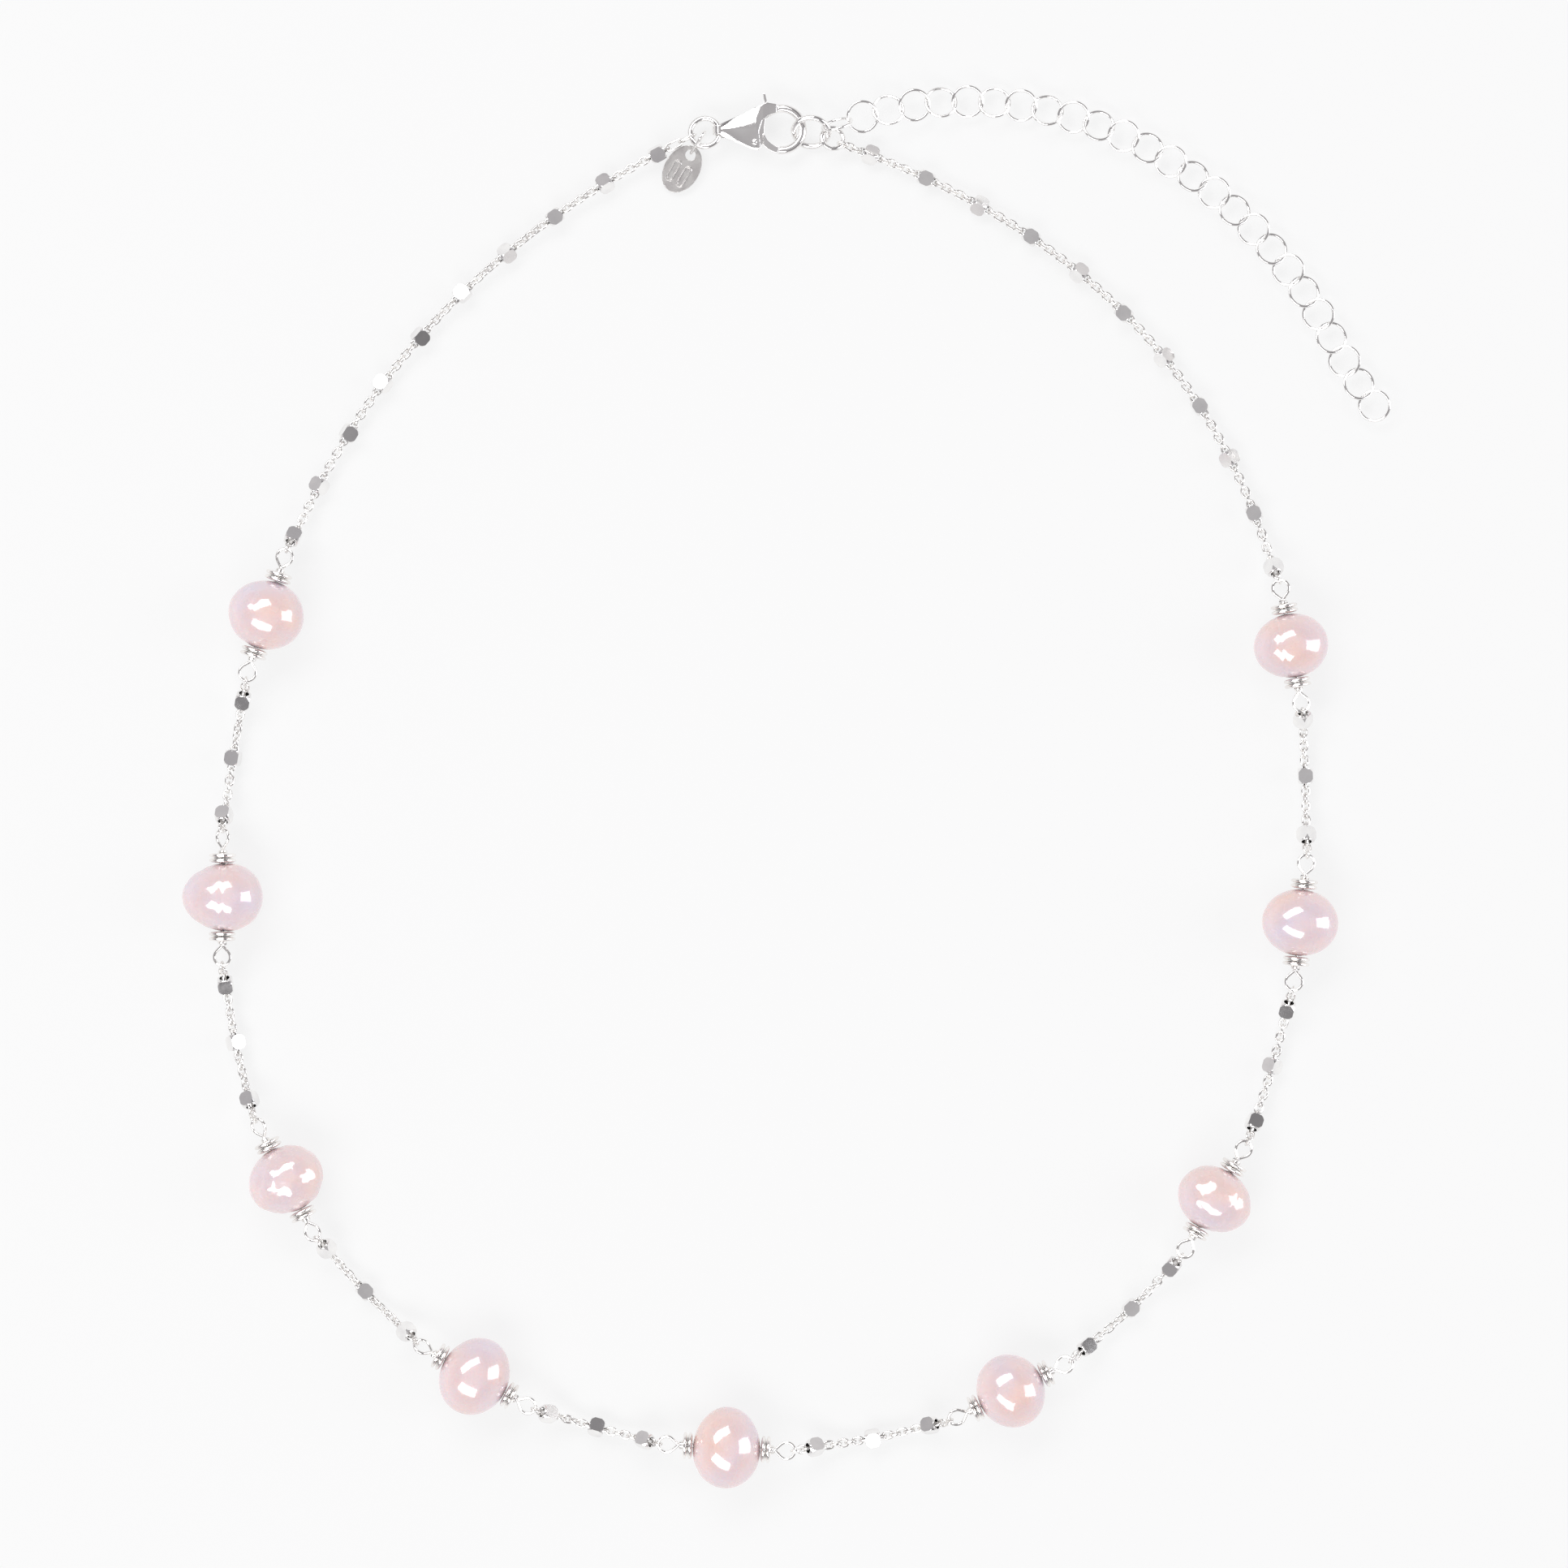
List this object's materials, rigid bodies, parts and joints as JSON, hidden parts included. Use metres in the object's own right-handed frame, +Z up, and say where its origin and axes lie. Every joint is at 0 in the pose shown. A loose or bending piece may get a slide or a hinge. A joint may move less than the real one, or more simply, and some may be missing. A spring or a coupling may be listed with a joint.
{
  "type": "pearl necklace",
  "caption": "Station necklace of drilled pearls on wrapped wire eyes, joined by fine cable chain with box beads, closed by a lobster clasp on a ring extender",
  "frame": {"origin": "on the surface that the necklace lies on, under the middle of its bounding box", "axes": "+Z up from the surface; +Y from the front pearl towards the clasp; +X to the right of a viewer who looks down with the clasp at the top"},
  "size_m": [0.1233, 0.1431, 0.0072],
  "materials": {
    "pearl": "glossy nacre",
    "wire_silver": "polished rhodium-plated silver",
    "chain_silver": "polished rhodium-plated silver with cut facets",
    "clasp_silver": "polished rhodium-plated silver",
    "tag_silver": "satin silver",
    "spring_steel": "plain spring steel"
  },
  "bodies": {
    "station_5": {"wire_5": "wire_silver", "discs_5": "wire_silver"},
    "pearl_1": {"pearl_1": "pearl"},
    "station_1": {"wire_1": "wire_silver", "discs_1": "wire_silver"},
    "pearl_2": {"pearl_2": "pearl"},
    "station_2": {"wire_2": "wire_silver", "discs_2": "wire_silver"},
    "pearl_3": {"pearl_3": "pearl"},
    "station_3": {"wire_3": "wire_silver", "discs_3": "wire_silver"},
    "pearl_4": {"pearl_4": "pearl"},
    "station_4": {"wire_4": "wire_silver", "discs_4": "wire_silver"},
    "pearl_5": {"pearl_5": "pearl"},
    "pearl_6": {"pearl_6": "pearl"},
    "station_6": {"wire_6": "wire_silver", "discs_6": "wire_silver"},
    "pearl_7": {"pearl_7": "pearl"},
    "station_7": {"wire_7": "wire_silver", "discs_7": "wire_silver"},
    "pearl_8": {"pearl_8": "pearl"},
    "station_8": {"wire_8": "wire_silver", "discs_8": "wire_silver"},
    "pearl_9": {"pearl_9": "pearl"},
    "station_9": {"wire_9": "wire_silver", "discs_9": "wire_silver"},
    "chain_5_6": {"chain_5_6": "chain_silver"},
    "chain_6_7": {"chain_6_7": "chain_silver"},
    "chain_7_8": {"chain_7_8": "chain_silver"},
    "chain_8_9": {"chain_8_9": "chain_silver"},
    "chain_right_1": {"chain_right_1": "chain_silver"},
    "chain_right_2": {"chain_right_2": "chain_silver"},
    "chain_right_3": {"chain_right_3": "chain_silver"},
    "chain_right_4": {"chain_right_4": "chain_silver"},
    "chain_4_5": {"chain_4_5": "chain_silver"},
    "chain_3_4": {"chain_3_4": "chain_silver"},
    "chain_2_3": {"chain_2_3": "chain_silver"},
    "chain_1_2": {"chain_1_2": "chain_silver"},
    "chain_left_1": {"chain_left_1": "chain_silver"},
    "chain_left_2": {"chain_left_2": "chain_silver"},
    "chain_left_3": {"chain_left_3": "chain_silver"},
    "chain_left_4": {"chain_left_4": "chain_silver"},
    "tail_ring": {"tail_ring": "wire_silver"},
    "clasp": {"clasp_body": "clasp_silver", "lever_pin": "clasp_silver", "lever_spring": "spring_steel"},
    "lever": {"lever": "clasp_silver"},
    "big_ring": {"big_ring": "wire_silver"},
    "small_ring": {"small_ring": "wire_silver"},
    "extender_0": {"extender_0": "wire_silver"},
    "extender_1": {"extender_1": "wire_silver"},
    "extender_2": {"extender_2": "wire_silver"},
    "extender_3": {"extender_3": "wire_silver"},
    "extender_4": {"extender_4": "wire_silver"},
    "extender_5": {"extender_5": "wire_silver"},
    "extender_6": {"extender_6": "wire_silver"},
    "tag_ring": {"tag_ring": "wire_silver"},
    "tag": {"tag": "tag_silver"}
  },
  "joints": [
    {"name": "pearl_1_spin", "type": "hinge", "parent": "station_1", "child": "pearl_1", "pos_m": [-0.05309, 0.01732, 0.00352], "axis": [-0.3053, -0.9523, 0], "continuous": true},
    {"name": "pearl_2_spin", "type": "hinge", "parent": "station_2", "child": "pearl_2", "pos_m": [-0.05755, -0.0114, 0.00345], "axis": [-0.0047, -1, 0], "continuous": true},
    {"name": "pearl_3_spin", "type": "hinge", "parent": "station_3", "child": "pearl_3", "pos_m": [-0.05113, -0.04016, 0.00338], "axis": [0.4543, -0.8909, 0], "continuous": true},
    {"name": "pearl_4_spin", "type": "hinge", "parent": "station_4", "child": "pearl_4", "pos_m": [-0.03186, -0.06015, 0.00348], "axis": [0.8719, -0.4896, 0], "continuous": true},
    {"name": "pearl_5_spin", "type": "hinge", "parent": "station_5", "child": "pearl_5", "pos_m": [-0.00624, -0.06742, 0.00345], "axis": [0.9986, -0.0529, 0], "continuous": true},
    {"name": "pearl_6_spin", "type": "hinge", "parent": "station_6", "child": "pearl_6", "pos_m": [0.02268, -0.06166, 0.00345], "axis": [0.8981, 0.4399, 0], "continuous": true},
    {"name": "pearl_7_spin", "type": "hinge", "parent": "station_7", "child": "pearl_7", "pos_m": [0.04343, -0.04218, 0.00324], "axis": [0.5015, 0.8652, 0], "continuous": true},
    {"name": "pearl_8_spin", "type": "hinge", "parent": "station_8", "child": "pearl_8", "pos_m": [0.05213, -0.014, 0.00342], "axis": [0.1033, 0.9947, 0], "continuous": true},
    {"name": "pearl_9_spin", "type": "hinge", "parent": "station_9", "child": "pearl_9", "pos_m": [0.05121, 0.01418, 0.00328], "axis": [-0.1752, 0.9845, 0], "continuous": true},
    {"name": "station_5_to_chain_5_6", "type": "hinge", "parent": "station_5", "child": "chain_5_6", "pos_m": [0.00046, -0.06774, 0.00368], "axis": [-0.6911, -0.1904, -0.6972], "range_deg": [0, 24]},
    {"name": "chain_5_6_to_station_6", "type": "hinge", "parent": "chain_5_6", "child": "station_6", "pos_m": [0.01643, -0.06472, 0.00345], "axis": [0.4078, -0.8327, -0.3746], "range_deg": [-30, 30]},
    {"name": "station_6_to_chain_6_7", "type": "hinge", "parent": "station_6", "child": "chain_6_7", "pos_m": [0.02866, -0.05865, 0.00366], "axis": [-0.4001, -0.6166, -0.678], "range_deg": [0, 24]},
    {"name": "chain_6_7_to_station_7", "type": "hinge", "parent": "chain_6_7", "child": "station_7", "pos_m": [0.04005, -0.04802, 0.00324], "axis": [-0.8567, 0.4966, 0.1392], "range_deg": [-30, 30]},
    {"name": "station_7_to_chain_7_8", "type": "hinge", "parent": "station_7", "child": "chain_7_8", "pos_m": [0.04674, -0.03657, 0.00348], "axis": [-0.5063, -0.5247, -0.6844], "range_deg": [0, 30]},
    {"name": "chain_7_8_to_station_8", "type": "hinge", "parent": "chain_7_8", "child": "station_8", "pos_m": [0.05141, -0.02089, 0.00342], "axis": [0.9795, -0.1017, 0.1736], "range_deg": [-30, 30]},
    {"name": "station_8_to_chain_8_9", "type": "hinge", "parent": "station_8", "child": "chain_8_9", "pos_m": [0.05286, -0.00736, 0.00366], "axis": [-0.1758, -0.6937, -0.6985], "range_deg": [0, 30]},
    {"name": "chain_8_9_to_station_9", "type": "hinge", "parent": "chain_8_9", "child": "station_9", "pos_m": [0.05239, 0.0075, 0.00328], "axis": [-0.9553, -0.17, 0.2419], "range_deg": [-30, 30]},
    {"name": "station_9_to_chain_right_1", "type": "hinge", "parent": "station_9", "child": "chain_right_1", "pos_m": [0.05001, 0.0206, 0.0035], "axis": [0.4446, -0.5862, -0.6772], "range_deg": [0, 36]},
    {"name": "chain_right_1_to_chain_right_2", "type": "hinge", "parent": "chain_right_1", "child": "chain_right_2", "pos_m": [0.0438, 0.03594, 0.00104], "axis": [0.8631, 0.4837, 0.1455], "range_deg": [-36, 36]},
    {"name": "chain_right_2_to_chain_right_3", "type": "hinge", "parent": "chain_right_2", "child": "chain_right_3", "pos_m": [0.03253, 0.05003, 0.00094], "axis": [-0.0972, -0.1163, -0.9885], "range_deg": [0, 60]},
    {"name": "chain_right_3_to_chain_right_4", "type": "hinge", "parent": "chain_right_3", "child": "chain_right_4", "pos_m": [0.0171, 0.06063, 0.00083], "axis": [-0.446, -0.8533, 0.2702], "range_deg": [0, 60]},
    {"name": "station_5_to_chain_4_5", "type": "hinge", "parent": "station_5", "child": "chain_4_5", "pos_m": [-0.01295, -0.0671, 0.00369], "axis": [-0.7176, -0.1154, 0.6868], "range_deg": [0, 24]},
    {"name": "chain_4_5_to_station_4", "type": "hinge", "parent": "chain_4_5", "child": "station_4", "pos_m": [-0.02576, -0.06358, 0.00348], "axis": [-0.4751, -0.846, -0.2419], "range_deg": [-30, 30]},
    {"name": "station_4_to_chain_3_4", "type": "hinge", "parent": "station_4", "child": "chain_3_4", "pos_m": [-0.03796, -0.05673, 0.00348], "axis": [-0.3276, -0.5835, 0.7431], "range_deg": [0, 24]},
    {"name": "chain_3_4_to_station_3", "type": "hinge", "parent": "chain_3_4", "child": "station_3", "pos_m": [-0.04806, -0.04598, 0.00351], "axis": [0.8384, -0.0727, 0.5402], "range_deg": [-30, 30]},
    {"name": "station_3_to_chain_2_3", "type": "hinge", "parent": "station_3", "child": "chain_2_3", "pos_m": [-0.05426, -0.03431, 0.00357], "axis": [-0.7385, 0.3486, 0.5771], "range_deg": [0, 30]},
    {"name": "chain_2_3_to_station_2", "type": "hinge", "parent": "chain_2_3", "child": "station_2", "pos_m": [-0.05758, -0.01836, 0.00345], "axis": [-0.9848, 0.0046, -0.1736], "range_deg": [-30, 30]},
    {"name": "station_2_to_chain_1_2", "type": "hinge", "parent": "station_2", "child": "chain_1_2", "pos_m": [-0.05752, -0.00444, 0.00345], "axis": [0.766, -0.0036, 0.6428], "range_deg": [0, 30]},
    {"name": "chain_1_2_to_station_1", "type": "hinge", "parent": "chain_1_2", "child": "station_1", "pos_m": [-0.05524, 0.01062, 0.00352], "axis": [0.924, -0.2962, -0.2419], "range_deg": [-30, 30]},
    {"name": "station_1_to_chain_left_1", "type": "hinge", "parent": "station_1", "child": "chain_left_1", "pos_m": [-0.05107, 0.02379, 0.00376], "axis": [0.0482, 0.7268, 0.6852], "range_deg": [0, 36]},
    {"name": "chain_left_1_to_chain_left_2", "type": "hinge", "parent": "chain_left_1", "child": "chain_left_2", "pos_m": [-0.04636, 0.03351, 0.00113], "axis": [-0.8596, 0.5002, 0.1045], "range_deg": [-36, 36]},
    {"name": "chain_left_2_to_chain_left_3", "type": "hinge", "parent": "chain_left_2", "child": "chain_left_3", "pos_m": [-0.03511, 0.04848, 0.00112], "axis": [0.4467, -0.4251, 0.7872], "range_deg": [0, 60]},
    {"name": "chain_left_3_to_chain_left_4", "type": "hinge", "parent": "chain_left_3", "child": "chain_left_4", "pos_m": [-0.0259, 0.05662, 0.00111], "axis": [0.467, -0.6078, 0.6423], "range_deg": [0, 60]},
    {"name": "chain_left_4_to_tail_ring", "type": "hinge", "parent": "chain_left_4", "child": "tail_ring", "pos_m": [-0.00991, 0.06634, 0.0016], "axis": [0.9988, 0.0485, 0.0001], "range_deg": [-12, 8]},
    {"name": "tail_ring_to_clasp", "type": "hinge", "parent": "tail_ring", "child": "clasp", "pos_m": [-0.00759, 0.06684, 0.0016], "axis": [1, 0.0018, 0.0001], "range_deg": [-12, 8]},
    {"name": "lever_pivot", "type": "hinge", "parent": "clasp", "child": "lever", "pos_m": [-0.0034, 0.06559, 0.0016], "axis": [0, 0, 1], "range_deg": [0, 25], "stiffness_Nm_per_rad": 0.002, "springref_deg": -9.74},
    {"name": "chain_right_4_to_small_ring", "type": "hinge", "parent": "chain_right_4", "child": "small_ring", "pos_m": [0.00543, 0.06536, 0.00136], "axis": [-0.9546, 0.2938, 0.0482], "range_deg": [-12, 8]},
    {"name": "small_ring_to_big_ring", "type": "hinge", "parent": "small_ring", "child": "big_ring", "pos_m": [0.00237, 0.0667, 0.0016], "axis": [-0.0605, -0.692, 0.7193], "range_deg": [0, 60]},
    {"name": "big_ring_to_extender_0", "type": "hinge", "parent": "big_ring", "child": "extender_0", "pos_m": [0.00401, 0.06713, 0.00221], "axis": [-0.2518, 0.8782, 0.4067], "range_deg": [-12, 12]},
    {"name": "extender_0_to_extender_1", "type": "hinge", "parent": "extender_0", "child": "extender_1", "pos_m": [0.005, 0.06741, 0.00221], "axis": [-0.2518, 0.8782, 0.4067], "range_deg": [-10, 25]},
    {"name": "extender_1_to_extender_2", "type": "hinge", "parent": "extender_1", "child": "extender_2", "pos_m": [0.01718, 0.06988, 0.00114], "axis": [-0.0986, 0.9565, -0.2745], "range_deg": [-15, 15]},
    {"name": "extender_2_to_extender_3", "type": "hinge", "parent": "extender_2", "child": "extender_3", "pos_m": [0.02653, 0.06897, 0.00116], "axis": [0.0598, 0.2691, 0.9613], "range_deg": [-20, 32]},
    {"name": "extender_3_to_extender_4", "type": "hinge", "parent": "extender_3", "child": "extender_4", "pos_m": [0.04045, 0.06293, 0.0012], "axis": [-0.5108, -0.8143, -0.2756], "range_deg": [-15, 15]},
    {"name": "extender_4_to_extender_5", "type": "hinge", "parent": "extender_4", "child": "extender_5", "pos_m": [0.0476, 0.05683, 0.0012], "axis": [-0.199, -0.1907, 0.9613], "range_deg": [-20, 32]},
    {"name": "extender_5_to_extender_6", "type": "hinge", "parent": "extender_5", "child": "extender_6", "pos_m": [0.05502, 0.04679, 0.0012], "axis": [0.8249, 0.4935, 0.2756], "range_deg": [-15, 15]},
    {"name": "tail_ring_to_tag_ring", "type": "hinge", "parent": "tail_ring", "child": "tag_ring", "pos_m": [-0.00846, 0.06665, 0.0016], "axis": [-0.0289, 0.1361, 0.9903], "range_deg": [0, 40]},
    {"name": "tag_ring_to_tag", "type": "hinge", "parent": "tag_ring", "child": "tag", "pos_m": [-0.00958, 0.06506, 0.00098], "axis": [0.8191, -0.5736, 0], "range_deg": [-30, 20]}
  ]
}
